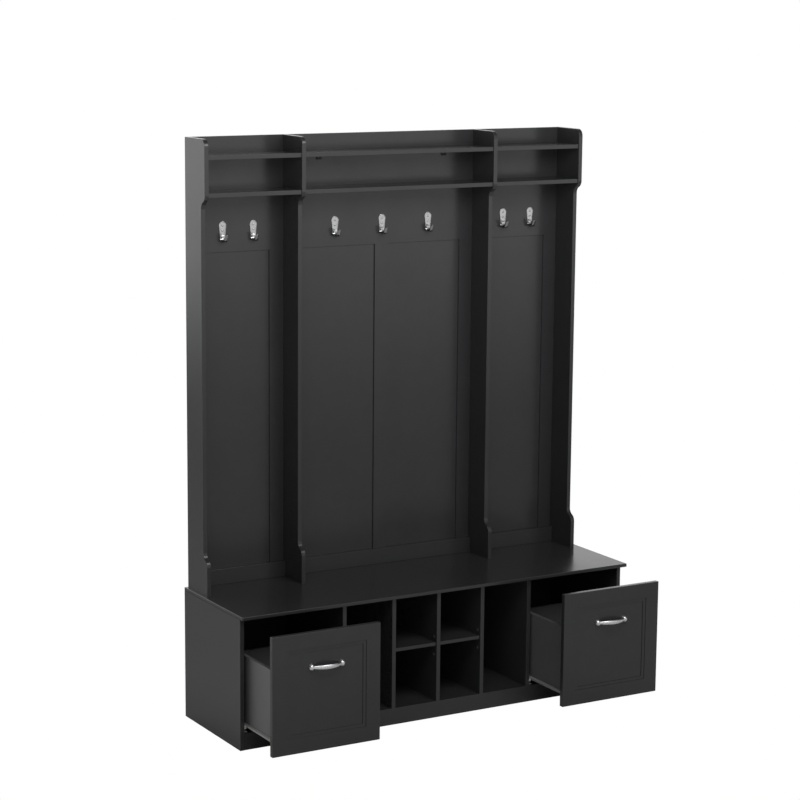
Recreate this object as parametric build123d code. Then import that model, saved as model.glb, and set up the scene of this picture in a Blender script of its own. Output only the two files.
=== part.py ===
from build123d import *
import os

# Hall tree with hooks: a bench base with two outer drawers, two tall bays and four shoe cubbies,
# and a shallow hutch with three panelled bays, two shelf levels and seven coat hooks.
# Millimetres. X runs to the right, the front faces -Y, the wall is the plane Y = 0, the floor is Z = 0,
# and the origin is the middle of the base's back lower edge. Both drawers are drawn partly open.

# ---- boards ----
BOARD = 15.0                # side panels, partitions, shelves
EDGE = 1.0                  # rounding of visible board edges
BASE_WIDTH = 1524.0
BASE_DEPTH = 430.0
BENCH_HEIGHT = 460.0
TOP_THICKNESS = 12.0
TOP_FRONT_LIP = 18.0
TOP_RIGHT_LIP = 15.0        # the top is flush at the left end and runs past the base at the right
BASE_BACK = 6.0
PLINTH_HEIGHT = 58.5
OUTER_PARTITION_X = 370.0
INNER_PARTITION_X = 177.5

# ---- cubby shelves ----
CUBBY_SHELF_Z = 256.5
CUBBY_SHELF_THICKNESS = 12.0
PIN_RADIUS = 2.5
PIN_PITCH = 32.0
PIN_ROWS_Y = (-410.0, -60.0)
SLEEVE_RADIUS = 3.5
SLEEVE_FLANGE_RADIUS = 4.6
SLEEVE_FLANGE = 0.8
SLEEVE_DEPTH = 7.0

# ---- hutch ----
HUTCH_TOP = 2000.0
HUTCH_HALF_WIDTH = 748.0
GALLERY_DEPTH = 152.0       # depth of the sides at the top and at the foot
WAIST_DEPTH = 123.0         # depth of the sides between the two ogees
OGEE_HEIGHT = 46.0
UPPER_OGEE_TOP = 1815.0
FOOT_OGEE_TOP = 605.0
GALLERY_CORNER = 25.0
DIVIDER_X = 380.0
HUTCH_BACK = 12.0
SHELF_SETBACK = 4.0
UPPER_SHELF_Z = 1931.0
LOWER_SHELF_Z = 1807.0
RAIL_HEIGHT = 55.0
STILE = 52.0
RECESS_TOP = 1610.0
RECESS_DEPTH = 5.0

# ---- cam fasteners of the hutch shelves, screws up into the hutch ----
CAM_RADIUS = 7.5
CAM_DEPTH = 11.0
CAM_INSET = 24.0
CAM_ROWS_Y = (-118.0, -42.0)
DOWEL_RADIUS = 3.0
DOWEL_BITE = 7.0
UPRIGHT_SCREW_RADIUS = 2.5
UPRIGHT_SCREW_LENGTH = 52.0
UPRIGHT_SCREW_HEAD = 2.5
UPRIGHT_ROWS_Y = (-110.0, -40.0)

# ---- coat hooks, wall brackets and their wood screws ----
HOOK_TOP = 1714.0
HOOK_HEIGHT = 70.0
HOOK_WIDTH = 27.0
HOOK_NECK = 19.0
HOOK_TIP = 10.5
HOOK_TAPER = 8.0            # height over which the prong narrows
HOOK_PLATE = 2.5
HOOK_BEND = 12.0            # inner radius
HOOK_LEAN = 25.0            # the prong's outward lean
HOOK_PRONG = 20.0
HOOK_SCREWS_BELOW_TOP = (14.0, 31.0)
SIDE_HOOKS_X = (502.0, 617.5)
CENTER_HOOKS_X = (-187.0, 0.0, 187.0)
SCREW_RADIUS = 1.75
SCREW_LENGTH = 12.0
SCREW_HEAD_RADIUS = 3.6
SCREW_HEAD = 1.8
BRACKET_X = 250.0
BRACKET_WIDTH = 20.0
BRACKET_LEG = 20.0
BRACKET_THICKNESS = 2.0
WALL_HOLE_RADIUS = 2.75
WALL_HOLE_DROP = 12.0

# ---- drawers ----
OPENING = 214.0             # how far the drawers are drawn out
FRONT_THICKNESS = 18.0
FRONT_BOTTOM = 45.0
FRONT_TOP = 445.0
FRONT_REVEAL = 1.0
FRONT_FRAME = 52.0
FRONT_RECESS = 5.0
BOX_GAP = 13.0              # each side, filled by the roller runners
BOX_BOARD = 12.0
BOX_LENGTH = 380.0
BOX_BOTTOM = 77.0
BOX_TOP = 318.0
BOX_BACK_TOP = 291.0
SHEET = 5.0
GROOVE = 5.0
SHEET_Z = 87.0

# ---- drawer pulls ----
PULL_SPAN = 112.0
PULL_REACH = 28.0
PULL_FOOT_RADIUS = 11.0
PULL_FOOT_HEIGHT = 8.0
PULL_Z = 328.0
PULL_SCREW_RADIUS = 2.0

# ---- roller runners ----
STEEL = 1.2
RUNNER_LENGTH = 350.0
CHANNEL_Z = 62.0
CHANNEL_REACH = 9.5
REAR_ROLLER_RADIUS = 8.0
FRONT_ROLLER_RADIUS = 9.0
ROLLER_GAP = 0.3
ROLLER_WIDTH = 7.8
STUD_RADIUS = 3.0
STUD_CLEARANCE = 0.05
WHEEL_PLAY = 0.8            # between a wheel and the steel behind it
LIP_Z = 87.0
TAB_LENGTH = 24.0
ROLLER_INSET = 12.0

SIDE_INNER_X = BASE_WIDTH / 2 - BOARD
UNDER_TOP = BENCH_HEIGHT - TOP_THICKNESS
BAY_LEFT, BAY_RIGHT = -SIDE_INNER_X, -OUTER_PARTITION_X - BOARD / 2

nodes = {}


def board(x0, x1, y0, y1, z0, z1):
    """A rectangular board between two corners."""
    return Pos((x0 + x1) / 2, (y0 + y1) / 2, (z0 + z1) / 2) * Box(x1 - x0, y1 - y0, z1 - z0)


def soften(part, radius, keep):
    """Round the edges that the test picks."""
    return fillet(part.edges().filter_by(keep), radius)


def along_x(edge):
    return abs(edge.tangent_at(0.5).X) > 0.99


def along_z(edge):
    return abs(edge.tangent_at(0.5).Z) > 0.99


def shelf_board(x0, x1, y0, y1, z0, z1):
    """A horizontal board with its two front edges eased."""
    return soften(board(x0, x1, y0, y1, z0, z1), EDGE, lambda e: along_x(e) and e.center().Y < y0 + 0.01)


def upright_board(x0, x1, y0, y1, z0, z1):
    """An upright board with its two front edges eased."""
    return soften(board(x0, x1, y0, y1, z0, z1), EDGE, lambda e: along_z(e) and e.center().Y < y0 + 0.01)


def rod(center, axis, radius, length):
    """A cylinder that starts at center and runs along axis."""
    turns = {"X": (0, 90, 0), "-X": (0, -90, 0), "Y": (-90, 0, 0), "-Y": (90, 0, 0), "Z": (0, 0, 0)}
    standing = Cylinder(radius, length, align=(Align.CENTER, Align.CENTER, Align.MIN))
    return Location(center, turns[axis]) * standing


def mirrored(part):
    return mirror(part, about=Plane.YZ)


def group(parts):
    parts = list(parts)
    return parts[0] if len(parts) == 1 else Compound(children=parts)


# ------------------------------------------------------------------ base
def make_base():
    half = BASE_WIDTH / 2
    side = upright_board(-half, -SIDE_INNER_X, -BASE_DEPTH, 0, 0, UNDER_TOP)
    nodes["base_side_left"] = side
    nodes["base_side_right"] = mirrored(side)

    top = board(-half, half + TOP_RIGHT_LIP, -BASE_DEPTH - TOP_FRONT_LIP, 0, UNDER_TOP, BENCH_HEIGHT)
    top = soften(top, 2 * EDGE, lambda e: e.center().Y < -1)
    for x in upright_centres():
        for y in UPRIGHT_ROWS_Y:
            top -= rod((x, y, UNDER_TOP), "Z", UPRIGHT_SCREW_RADIUS, TOP_THICKNESS)
            top -= rod((x, y, UNDER_TOP), "Z", 2 * UPRIGHT_SCREW_RADIUS, UPRIGHT_SCREW_HEAD)
    nodes["bench_top"] = top

    inner = SIDE_INNER_X
    panel_z = PLINTH_HEIGHT - BOARD
    nodes["plinth"] = shelf_board(-inner, inner, -BASE_DEPTH, -BASE_DEPTH + BOARD, 0, PLINTH_HEIGHT)
    nodes["bottom_panel"] = board(-inner, inner, -BASE_DEPTH + BOARD, -BASE_BACK, panel_z, PLINTH_HEIGHT)
    nodes["rear_rail"] = board(-inner, inner, -BASE_BACK - BOARD, -BASE_BACK, 0, panel_z)
    nodes["base_back"] = board(-inner, inner, -BASE_BACK, 0, 0, UNDER_TOP)

    xs = (-OUTER_PARTITION_X, -INNER_PARTITION_X, 0, INNER_PARTITION_X, OUTER_PARTITION_X)
    for number, x in enumerate(xs, start=1):
        wall = upright_board(x - BOARD / 2, x + BOARD / 2, -BASE_DEPTH, -BASE_BACK, PLINTH_HEIGHT, UNDER_TOP)
        for hole_x, axis in sleeve_faces():
            if abs(hole_x - x) < BOARD:
                for y, z in pin_places():
                    wall -= rod((hole_x, y, z), axis, SLEEVE_RADIUS, SLEEVE_DEPTH)
        nodes[f"partition_{number}"] = wall


def sleeve_faces():
    """X of each drilled partition face and the direction into the board."""
    half = BOARD / 2
    return (
        (-INNER_PARTITION_X + half, "-X"),
        (-half, "X"),
        (half, "-X"),
        (INNER_PARTITION_X - half, "X"),
    )


def pin_places():
    middle = CUBBY_SHELF_Z - PIN_RADIUS
    return [(y, middle + step * PIN_PITCH) for y in PIN_ROWS_Y for step in (-1, 0, 1)]


def make_cubbies():
    play, half = 1.0, BOARD / 2
    x0, x1 = -INNER_PARTITION_X + half + play, -half - play
    top = CUBBY_SHELF_Z + CUBBY_SHELF_THICKNESS
    shelf = shelf_board(x0, x1, -BASE_DEPTH + 5, -BASE_BACK - 4, CUBBY_SHELF_Z, top)
    nodes["cubby_shelf_left"] = shelf
    nodes["cubby_shelf_right"] = mirrored(shelf)

    sleeves, pins = [], []
    for face_x, into in sleeve_faces():
        out = "X" if into == "-X" else "-X"
        for y, z in pin_places():
            ring = rod((face_x, y, z), into, SLEEVE_RADIUS, SLEEVE_DEPTH)
            ring += rod((face_x, y, z), out, SLEEVE_FLANGE_RADIUS, SLEEVE_FLANGE)
            bore = rod((face_x, y, z), into, PIN_RADIUS, SLEEVE_DEPTH)
            bore += rod((face_x, y, z), out, PIN_RADIUS, SLEEVE_FLANGE)
            sleeves.append(ring - bore)
            if abs(z + PIN_RADIUS - CUBBY_SHELF_Z) < 0.01:
                pin = rod((face_x, y, z), into, PIN_RADIUS, SLEEVE_DEPTH - 1)
                pins.append(pin + rod((face_x, y, z), out, PIN_RADIUS, 9))
    nodes["pin_sleeves"] = group(sleeves)
    nodes["shelf_pins"] = group(pins)


# ------------------------------------------------------------------ hutch
def upright_centres():
    outer = HUTCH_HALF_WIDTH - BOARD / 2
    return (-outer, -DIVIDER_X, DIVIDER_X, outer)


def ogee(depth0, z0, depth1, z1):
    """Two equal tangent arcs that join two depths of the board's front edge, both ends upright."""
    middle = (-(depth0 + depth1) / 2, (z0 + z1) / 2)
    first = TangentArc((-depth0, z0), middle, tangent=(0, -1))
    return first, TangentArc(middle, (-depth1, z1), tangent=first % 1)


def upright_outline():
    """Side view of a hutch side or divider, as Y and Z."""
    upper = ogee(GALLERY_DEPTH, UPPER_OGEE_TOP, WAIST_DEPTH, UPPER_OGEE_TOP - OGEE_HEIGHT)
    foot = ogee(WAIST_DEPTH, FOOT_OGEE_TOP, GALLERY_DEPTH, FOOT_OGEE_TOP - OGEE_HEIGHT)
    corner_start = (-GALLERY_DEPTH + GALLERY_CORNER, HUTCH_TOP)
    corner_end = (-GALLERY_DEPTH, HUTCH_TOP - GALLERY_CORNER)
    return [
        Line((0, BENCH_HEIGHT), (0, HUTCH_TOP)),
        Line((0, HUTCH_TOP), corner_start),
        TangentArc(corner_start, corner_end, tangent=(-1, 0)),
        Line(corner_end, (-GALLERY_DEPTH, UPPER_OGEE_TOP)),
        *upper,
        Line((-WAIST_DEPTH, UPPER_OGEE_TOP - OGEE_HEIGHT), (-WAIST_DEPTH, FOOT_OGEE_TOP)),
        *foot,
        Line((-GALLERY_DEPTH, FOOT_OGEE_TOP - OGEE_HEIGHT), (-GALLERY_DEPTH, BENCH_HEIGHT)),
        Line((-GALLERY_DEPTH, BENCH_HEIGHT), (0, BENCH_HEIGHT)),
    ]


def upright(x, shelf_sides):
    """A side or divider centred on x. shelf_sides are the directions from a shelf end into it."""
    outline = make_face(Curve() + upright_outline())
    part = extrude(Plane.YZ * outline, BOARD / 2, both=True)
    part = soften(part, EDGE, lambda e: abs(abs(e.center().X) - BOARD / 2) < 0.01
                  and e.center().Y < -1 and e.center().Z > BENCH_HEIGHT + 1)
    part = Pos(x, 0, 0) * part
    for y in UPRIGHT_ROWS_Y:
        part -= rod((x, y, BENCH_HEIGHT), "Z", UPRIGHT_SCREW_RADIUS, UPRIGHT_SCREW_LENGTH - TOP_THICKNESS)
    for into in shelf_sides:
        face = x - BOARD / 2 if into == "X" else x + BOARD / 2
        for z in (LOWER_SHELF_Z, UPPER_SHELF_Z):
            for y in CAM_ROWS_Y:
                part -= rod((face, y, z + BOARD / 2), into, DOWEL_RADIUS, DOWEL_BITE)
    return part


def bays():
    """Name, left face and right face of each hutch bay."""
    outer, middle = HUTCH_HALF_WIDTH - BOARD, DIVIDER_X - BOARD / 2
    left = -DIVIDER_X - BOARD / 2
    return (("left", -outer, left), ("center", -middle, middle), ("right", -left, outer))


def back_panel(name, x0, x1):
    """A back board whose front carries one or two sunk fields."""
    panel = board(x0, x1, -HUTCH_BACK, 0, BENCH_HEIGHT, HUTCH_TOP)
    fields = [(x0 + STILE, x1 - STILE)]
    if name == "center":
        fields = [(x0 + STILE, -STILE / 2), (STILE / 2, x1 - STILE)]
    for field_x0, field_x1 in fields:
        bottom = BENCH_HEIGHT + RAIL_HEIGHT
        panel -= board(field_x0, field_x1, -HUTCH_BACK, -HUTCH_BACK + RECESS_DEPTH, bottom, RECESS_TOP)
    for x in hook_places(name):
        for drop in HOOK_SCREWS_BELOW_TOP:
            depth = SCREW_LENGTH - HOOK_PLATE
            panel -= rod((x, -HUTCH_BACK, HOOK_TOP - drop), "Y", SCREW_RADIUS, depth)
    if name == "center":
        for x in (-BRACKET_X, BRACKET_X):
            panel -= rod((x, -HUTCH_BACK, UPPER_SHELF_Z - WALL_HOLE_DROP), "Y", WALL_HOLE_RADIUS, HUTCH_BACK)
    return panel


def hook_places(name):
    if name == "center":
        return CENTER_HOOKS_X
    return SIDE_HOOKS_X if name == "right" else tuple(-x for x in reversed(SIDE_HOOKS_X))


def hutch_shelf(name, x0, x1, z):
    """A shelf with cam holes in its underside and dowel holes in its ends."""
    shelf = shelf_board(x0, x1, -GALLERY_DEPTH + SHELF_SETBACK, -HUTCH_BACK, z, z + BOARD)
    for cam_x, end_x, into in ((x0 + CAM_INSET, x0, "X"), (x1 - CAM_INSET, x1, "-X")):
        for y in CAM_ROWS_Y:
            shelf -= rod((cam_x, y, z), "Z", CAM_RADIUS, CAM_DEPTH)
            shelf -= rod((end_x, y, z + BOARD / 2), into, DOWEL_RADIUS, CAM_INSET)
    if name == "center" and z == UPPER_SHELF_Z:
        for x in (-BRACKET_X, BRACKET_X):
            depth = SCREW_LENGTH - BRACKET_THICKNESS
            shelf -= rod((x, bracket_screw_y(), z), "Z", SCREW_RADIUS, depth)
    return shelf


def make_hutch():
    outer = HUTCH_HALF_WIDTH - BOARD / 2
    nodes["hutch_side_left"] = upright(-outer, ("-X",))
    nodes["hutch_side_right"] = upright(outer, ("X",))
    nodes["divider_left"] = upright(-DIVIDER_X, ("X", "-X"))
    nodes["divider_right"] = upright(DIVIDER_X, ("X", "-X"))
    rail_top = BENCH_HEIGHT + RAIL_HEIGHT
    for name, x0, x1 in bays():
        nodes[f"back_panel_{name}"] = back_panel(name, x0, x1)
        rail = shelf_board(x0, x1, -HUTCH_BACK - BOARD, -HUTCH_BACK, BENCH_HEIGHT, rail_top)
        nodes[f"lower_rail_{name}"] = rail
        nodes[f"lower_shelf_{name}"] = hutch_shelf(name, x0, x1, LOWER_SHELF_Z)
        nodes[f"upper_shelf_{name}"] = hutch_shelf(name, x0, x1, UPPER_SHELF_Z)

    cams = []
    for _, x0, x1 in bays():
        for cam_x, towards in ((x0 + CAM_INSET, "-X"), (x1 - CAM_INSET, "X")):
            for z in (LOWER_SHELF_Z, UPPER_SHELF_Z):
                for y in CAM_ROWS_Y:
                    dowel = rod((cam_x, y, z + BOARD / 2), towards, DOWEL_RADIUS, CAM_INSET + DOWEL_BITE)
                    cams.append(rod((cam_x, y, z), "Z", CAM_RADIUS, CAM_DEPTH) + dowel)
    nodes["cam_fasteners"] = group(cams)

    screws = []
    for x in upright_centres():
        for y in UPRIGHT_ROWS_Y:
            shank = rod((x, y, UNDER_TOP), "Z", UPRIGHT_SCREW_RADIUS, UPRIGHT_SCREW_LENGTH)
            screws.append(shank + rod((x, y, UNDER_TOP), "Z", 2 * UPRIGHT_SCREW_RADIUS, UPRIGHT_SCREW_HEAD))
    nodes["upright_screws"] = group(screws)


# ------------------------------------------------------------------ hooks and wall brackets
def hook():
    """A bent steel strip: a rounded plate that narrows, turns forward and ends in a raised tip.
    The origin is on the back of the plate, at its top."""
    outer, sweep = HOOK_BEND + HOOK_PLATE, 180 - HOOK_LEAN
    bend_z = -HOOK_HEIGHT + outer
    rise = Vector(0, HOOK_PRONG).rotate(Axis.Z, HOOK_LEAN)

    def on_bend(radius, angle):
        return Vector(-outer, bend_z) + Vector(radius, 0).rotate(Axis.Z, -angle)

    end, inner_end = on_bend(outer, sweep) + rise, on_bend(HOOK_BEND, sweep) + rise
    reach, tip_z = -end.X, end.Y
    side = [
        Polyline((-HOOK_PLATE, bend_z), (-HOOK_PLATE, 0), (0, 0), (0, bend_z)),
        ThreePointArc((0, bend_z), on_bend(outer, sweep / 2), on_bend(outer, sweep)),
        Polyline(on_bend(outer, sweep), end, inner_end, on_bend(HOOK_BEND, sweep)),
        ThreePointArc(on_bend(HOOK_BEND, sweep), on_bend(HOOK_BEND, sweep / 2), (-HOOK_PLATE, bend_z)),
    ]
    strip = extrude(Plane.YZ * make_face(Curve() + side), HOOK_WIDTH, both=True)

    crown, neck, tip = HOOK_WIDTH / 2, HOOK_NECK / 2, HOOK_TIP / 2
    floor_z = -HOOK_HEIGHT + HOOK_PLATE
    plate = Polygon((-crown, -crown), (crown, -crown), (neck, bend_z), (neck, -HOOK_HEIGHT),
                    (-neck, -HOOK_HEIGHT), (-neck, bend_z), align=None) + Pos(0, -crown) * Circle(crown)
    prong = Polygon((-neck, -HOOK_HEIGHT), (neck, -HOOK_HEIGHT), (neck, floor_z), (tip, floor_z + HOOK_TAPER),
                    (tip, tip_z - tip), (-tip, tip_z - tip), (-tip, floor_z + HOOK_TAPER), (-neck, floor_z),
                    align=None) + Pos(0, tip_z - tip) * Circle(tip)
    back_half = Pos(0, -outer / 2, 0) * extrude(Plane.XZ * plate, outer / 2, both=True)
    front_half = Pos(0, -(outer + reach) / 2, 0) * extrude(Plane.XZ * prong, (reach - outer) / 2, both=True)
    part = (strip & back_half) + (strip & front_half)
    for drop in HOOK_SCREWS_BELOW_TOP:
        part -= rod((0, 0, -drop), "-Y", SCREW_RADIUS, HOOK_PLATE)
    return part


def wood_screw():
    """A pan-head screw. The origin is under the head and the shank runs along +Y."""
    head = rod((0, 0, 0), "-Y", SCREW_HEAD_RADIUS, SCREW_HEAD)
    head = fillet(head.edges().sort_by(Axis.Y)[0], SCREW_HEAD * 0.6)
    return head + rod((0, 0, 0), "Y", SCREW_RADIUS, SCREW_LENGTH)


def bracket_screw_y():
    return -HUTCH_BACK - BRACKET_LEG * 0.65


def make_hooks():
    screws = []
    strip, screw = hook(), wood_screw()
    for name, _, _ in bays():
        places = hook_places(name)
        nodes[f"coat_hooks_{name}"] = group(Pos(x, -HUTCH_BACK, HOOK_TOP) * strip for x in places)
        for x in places:
            for drop in HOOK_SCREWS_BELOW_TOP:
                screws.append(Pos(x, -HUTCH_BACK - HOOK_PLATE, HOOK_TOP - drop) * screw)

    brackets = []
    for x in (-BRACKET_X, BRACKET_X):
        x0, x1 = x - BRACKET_WIDTH / 2, x + BRACKET_WIDTH / 2
        face, leg = -HUTCH_BACK, BRACKET_LEG
        angle = board(x0, x1, face - BRACKET_THICKNESS, face, UPPER_SHELF_Z - leg, UPPER_SHELF_Z)
        angle += board(x0, x1, face - leg, face, UPPER_SHELF_Z - BRACKET_THICKNESS, UPPER_SHELF_Z)
        hole_z = UPPER_SHELF_Z - WALL_HOLE_DROP
        angle -= rod((x, face - BRACKET_THICKNESS, hole_z), "Y", WALL_HOLE_RADIUS, BRACKET_THICKNESS)
        under = UPPER_SHELF_Z - BRACKET_THICKNESS
        angle -= rod((x, bracket_screw_y(), under), "Z", SCREW_RADIUS, BRACKET_THICKNESS)
        brackets.append(angle)
        screws.append(Location((x, bracket_screw_y(), under), (90, 0, 0)) * screw)
    nodes["wall_brackets"] = group(brackets)
    nodes["wood_screws"] = group(screws)


# ------------------------------------------------------------------ drawers
def drawer_front(x0, x1, y_back):
    """A slab with a sunk field, a groove for the bottom sheet and holes for the pull's screws."""
    y_front = y_back - FRONT_THICKNESS
    front = board(x0, x1, y_front, y_back, FRONT_BOTTOM, FRONT_TOP)
    front -= board(x0 + FRONT_FRAME, x1 - FRONT_FRAME, y_front, y_front + FRONT_RECESS,
                   FRONT_BOTTOM + FRONT_FRAME, FRONT_TOP - FRONT_FRAME)
    return soften(front, EDGE, lambda e: e.center().Y < y_front + 0.01)


def pull(x, y):
    """An arched bar on two flared feet, standing on the plane y."""
    half, start = PULL_SPAN / 2, PULL_FOOT_HEIGHT - 3
    flare = TangentArc((PULL_FOOT_RADIUS, 2), (5, PULL_FOOT_HEIGHT), tangent=(-0.6, 0.8))
    base = Polyline((5, PULL_FOOT_HEIGHT), (0, PULL_FOOT_HEIGHT), (0, 0), (PULL_FOOT_RADIUS, 0),
                    (PULL_FOOT_RADIUS, 2))
    foot = revolve(Plane.XZ * make_face(Curve() + [flare, base]), Axis.Z)
    arch = Plane.XZ * ThreePointArc((-half, start), (0, PULL_REACH - 3.5), (half, start))
    bar = sweep(Plane(origin=arch @ 0, x_dir=(0, 1, 0), z_dir=arch % 0) * Ellipse(7, 3.5), path=arch)
    part = bar + Pos(-half, 0, 0) * foot + Pos(half, 0, 0) * foot
    for foot_x in (-half, half):
        part -= rod((foot_x, 0, 0), "Z", PULL_SCREW_RADIUS, start)
    return Location((x, y, PULL_Z), (90, 0, 0)) * part


def pull_screw():
    """A machine screw. The origin is under the head and the shank runs along -Y."""
    length = FRONT_THICKNESS - FRONT_RECESS + PULL_FOOT_HEIGHT - 3
    return rod((0, 0, 0), "-Y", PULL_SCREW_RADIUS, length) + rod((0, 0, 0), "Y", 2 * PULL_SCREW_RADIUS, 2.2)


def rear_roller_y():
    return -BASE_DEPTH + RUNNER_LENGTH - ROLLER_INSET


def rear_roller_z():
    return CHANNEL_Z + STEEL + ROLLER_GAP + REAR_ROLLER_RADIUS


def front_roller_y():
    return -BASE_DEPTH + ROLLER_INSET


def front_roller_z():
    return LIP_Z - ROLLER_GAP - FRONT_ROLLER_RADIUS


def cabinet_runner(wall_x):
    """The channel on a wall to the left of the drawer box, with the front roller's stud."""
    y0, y1 = -BASE_DEPTH + 2, -BASE_DEPTH + RUNNER_LENGTH
    web = wall_x + STEEL
    channel_top = rear_roller_z() + REAR_ROLLER_RADIUS + 0.5
    part = board(wall_x, web, y0, y1, CHANNEL_Z, channel_top + STEEL)
    part += board(wall_x, web, y0, y0 + TAB_LENGTH, CHANNEL_Z, front_roller_z() + 5)
    part += board(web, web + CHANNEL_REACH, y0, y1, CHANNEL_Z, CHANNEL_Z + STEEL)
    part += board(web, web + CHANNEL_REACH, y0 + TAB_LENGTH, y1, channel_top, channel_top + STEEL)
    stud = rod((web, front_roller_y(), front_roller_z()), "X", STUD_RADIUS, ROLLER_WIDTH + 1.4)
    return part + stud


def drawer_runner(box_x):
    """The strip that carries the drawer box's left side, with the rear roller's stud."""
    y0, y1 = -BASE_DEPTH + 2, -BASE_DEPTH + RUNNER_LENGTH
    leg = box_x - STEEL
    part = board(leg, box_x, y0, y1, BOX_BOTTOM - STEEL, LIP_Z + STEEL)
    part += board(box_x, box_x + BOX_BOARD, y0, y1, BOX_BOTTOM - STEEL, BOX_BOTTOM)
    part += board(leg - CHANNEL_REACH, leg, y0, y1, LIP_Z, LIP_Z + STEEL)
    part += board(leg, box_x, y1 - TAB_LENGTH, y1, rear_roller_z() - 5, BOX_BOTTOM - STEEL)
    return part + rod((leg, rear_roller_y(), rear_roller_z()), "-X", STUD_RADIUS, ROLLER_WIDTH + 1.4)


def roller(x, y, z, radius):
    """A grooved nylon wheel on an X axis, from x towards +X."""
    wheel = rod((x, y, z), "X", radius, ROLLER_WIDTH)
    wheel = chamfer(wheel.edges(), 0.6)
    return wheel - rod((x, y, z), "X", STUD_RADIUS + STUD_CLEARANCE, ROLLER_WIDTH)


def flipped(part):
    """The same part at the other wall of its bay."""
    return mirror(part, about=Plane.YZ.offset((BAY_LEFT + BAY_RIGHT) / 2))


def left_drawer():
    """Every piece of the left drawer, closed. The screws and wheels are lists."""
    box_x0, box_x1 = BAY_LEFT + BOX_GAP, BAY_RIGHT - BOX_GAP
    y_front = -BASE_DEPTH - 0.5
    y_back = y_front + BOX_LENGTH
    x0 = -BASE_WIDTH / 2 + FRONT_REVEAL
    x1 = BAY_RIGHT + BOARD - FRONT_REVEAL
    screw_x = [(x0 + x1 + s * PULL_SPAN) / 2 for s in (-1, 1)]

    sheet = board(box_x0 + BOX_BOARD - GROOVE, box_x1 - BOX_BOARD + GROOVE,
                  y_front - GROOVE, y_back, SHEET_Z, SHEET_Z + SHEET)
    front = drawer_front(x0, x1, y_front) - sheet
    for x in screw_x:
        front -= rod((x, y_front, PULL_Z), "-Y", PULL_SCREW_RADIUS, FRONT_THICKNESS)
    wall = board(box_x0, box_x0 + BOX_BOARD, y_front, y_back, BOX_BOTTOM, BOX_TOP) - sheet
    wall = soften(wall, EDGE, lambda e: abs(e.tangent_at(0.5).Y) > 0.99 and e.center().Z > BOX_TOP - 0.01)
    strip = drawer_runner(box_x0)
    wheel_x = box_x0 - STEEL - WHEEL_PLAY - ROLLER_WIDTH
    wheel = roller(wheel_x, rear_roller_y(), rear_roller_z(), REAR_ROLLER_RADIUS)
    return {
        "front": [front],
        "wall_outer": [wall],
        "wall_inner": [flipped(wall)],
        "back": [board(box_x0 + BOX_BOARD, box_x1 - BOX_BOARD, y_back - BOX_BOARD, y_back,
                       SHEET_Z + SHEET, BOX_BACK_TOP)],
        "bottom": [sheet],
        "pull": [pull((x0 + x1) / 2, y_front - FRONT_THICKNESS + FRONT_RECESS)],
        "pull_screws": [Pos(x, y_front, PULL_Z) * pull_screw() for x in screw_x],
        "runners": [strip, flipped(strip)],
        "rear_rollers": [wheel, flipped(wheel)],
    }


def make_drawers():
    wheel = roller(BAY_LEFT + STEEL + WHEEL_PLAY, front_roller_y(), front_roller_z(), FRONT_ROLLER_RADIUS)
    fixed_wheels = [wheel, flipped(wheel)]
    channels = [cabinet_runner(BAY_LEFT), flipped(cabinet_runner(BAY_LEFT))]
    for name, parts in left_drawer().items():
        drawn = [Pos(0, -OPENING, 0) * part for part in parts]
        nodes[f"drawer_left_{name}"] = group(drawn)
        nodes[f"drawer_right_{name}"] = group(mirrored(part) for part in drawn)
    nodes["bay_left_front_rollers"] = group(fixed_wheels)
    nodes["bay_right_front_rollers"] = group(mirrored(part) for part in fixed_wheels)
    nodes["cabinet_runners"] = group(channels + [mirrored(part) for part in channels])


make_base()
make_cubbies()
make_hutch()
make_hooks()
make_drawers()

os.makedirs("parts", exist_ok=True)
for name, part in nodes.items():
    export_step(part, f"parts/{name}.step")
print(len(nodes), "nodes")
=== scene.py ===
import math

import bmesh
import bpy
from bpy.props import FloatProperty, FloatVectorProperty, PointerProperty
from mathutils import Matrix, Vector


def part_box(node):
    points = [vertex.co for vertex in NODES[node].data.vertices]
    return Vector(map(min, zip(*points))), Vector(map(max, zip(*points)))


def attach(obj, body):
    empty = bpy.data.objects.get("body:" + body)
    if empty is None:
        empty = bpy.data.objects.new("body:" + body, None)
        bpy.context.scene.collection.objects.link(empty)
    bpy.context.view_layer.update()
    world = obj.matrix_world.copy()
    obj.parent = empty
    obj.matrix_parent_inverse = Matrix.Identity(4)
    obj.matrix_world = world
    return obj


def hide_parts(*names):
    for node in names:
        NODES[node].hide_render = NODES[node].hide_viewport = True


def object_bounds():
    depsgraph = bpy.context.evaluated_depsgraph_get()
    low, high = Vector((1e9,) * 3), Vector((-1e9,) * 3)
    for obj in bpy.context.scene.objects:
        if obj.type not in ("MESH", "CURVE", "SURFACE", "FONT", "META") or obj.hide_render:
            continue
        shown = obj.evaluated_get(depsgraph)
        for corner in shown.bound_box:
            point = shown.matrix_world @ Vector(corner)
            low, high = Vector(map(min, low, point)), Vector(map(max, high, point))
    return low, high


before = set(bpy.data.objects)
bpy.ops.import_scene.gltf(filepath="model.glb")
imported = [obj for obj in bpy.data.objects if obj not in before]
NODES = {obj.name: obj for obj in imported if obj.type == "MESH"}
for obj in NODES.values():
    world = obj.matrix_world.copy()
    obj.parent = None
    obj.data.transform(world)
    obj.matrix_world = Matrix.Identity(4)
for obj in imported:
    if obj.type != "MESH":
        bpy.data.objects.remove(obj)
CAD_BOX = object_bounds()

bl_info = {
    "name": "Hall Tree with Hooks",
    "version": (1, 0, 0),
    "blender": (4, 5, 0),
    "location": "View3D > Sidebar > Hall Tree",
    "description": "Finishes and fine pieces of a hall tree with drawers, shoe cubbies and coat hooks",
    "category": "Object",
}

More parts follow.
